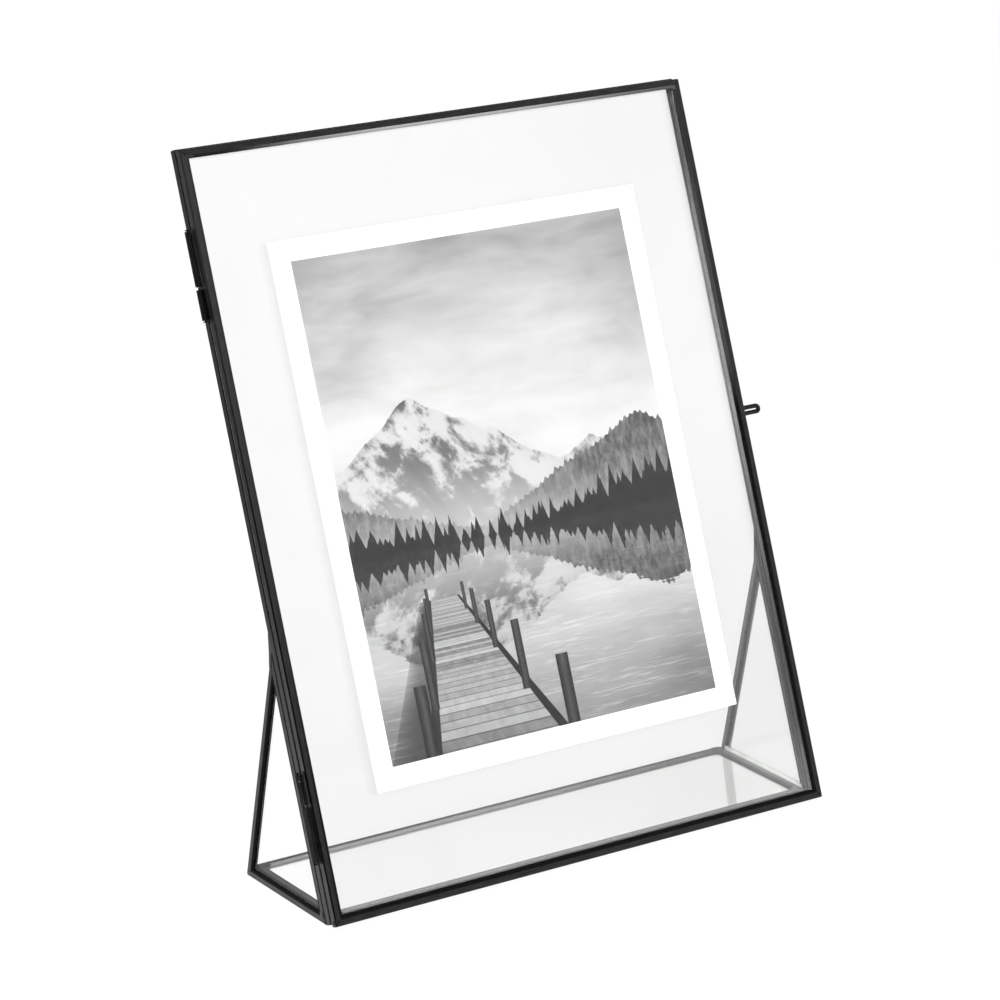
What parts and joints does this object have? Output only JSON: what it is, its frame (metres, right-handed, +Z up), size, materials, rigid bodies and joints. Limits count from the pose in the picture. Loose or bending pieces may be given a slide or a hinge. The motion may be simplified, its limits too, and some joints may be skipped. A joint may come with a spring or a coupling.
{
  "type": "floating picture frame",
  "caption": "Leaning glass picture frame with thin black metal edges, a hinged front pane, a print held between two panes, and a triangular glass stand.",
  "frame": {"origin": "on the table, under the middle of the flat underside of the stand's front rail", "axes": "+Z up, -Y towards the viewer that the print faces, +X to that viewer's right"},
  "size_m": [0.2253, 0.1031, 0.2602],
  "materials": {
    "black_metal": "semi-gloss black",
    "pin_metal": "bare wire",
    "clear_glass": "clear",
    "print_paper": "matt white card with a printed picture"
  },
  "bodies": {
    "stand": {"back_left_stile": "black_metal", "back_top_rail": "black_metal", "back_right_stile": "black_metal", "back_bottom_rail": "black_metal", "back_glass": "clear_glass", "print_card": "print_paper", "base_front_rail": "black_metal", "base_right_rail": "black_metal", "base_rear_rail": "black_metal", "base_left_rail": "black_metal", "base_glass": "clear_glass", "left_side_bottom_bar": "black_metal", "left_side_rear_bar": "black_metal", "left_side_front_bar": "black_metal", "left_side_glass": "clear_glass", "right_side_front_bar": "black_metal", "right_side_rear_bar": "black_metal", "right_side_bottom_bar": "black_metal", "right_side_glass": "clear_glass", "upper_hinge_back_leaf": "black_metal", "upper_hinge_pin": "pin_metal", "lower_hinge_back_leaf": "black_metal", "lower_hinge_pin": "pin_metal"},
    "door": {"door_left_stile": "black_metal", "door_top_rail": "black_metal", "door_right_stile": "black_metal", "door_bottom_rail": "black_metal", "door_glass": "clear_glass", "upper_hinge_door_leaf": "black_metal", "lower_hinge_door_leaf": "black_metal", "pull_loop": "black_metal"}
  },
  "joints": [
    {"name": "door_hinge", "type": "hinge", "parent": "stand", "child": "door", "pos_m": [-0.1089, 0.04248, 0.13065], "axis": [0, -0.3502, -0.9367], "range_deg": [0, 120]}
  ]
}
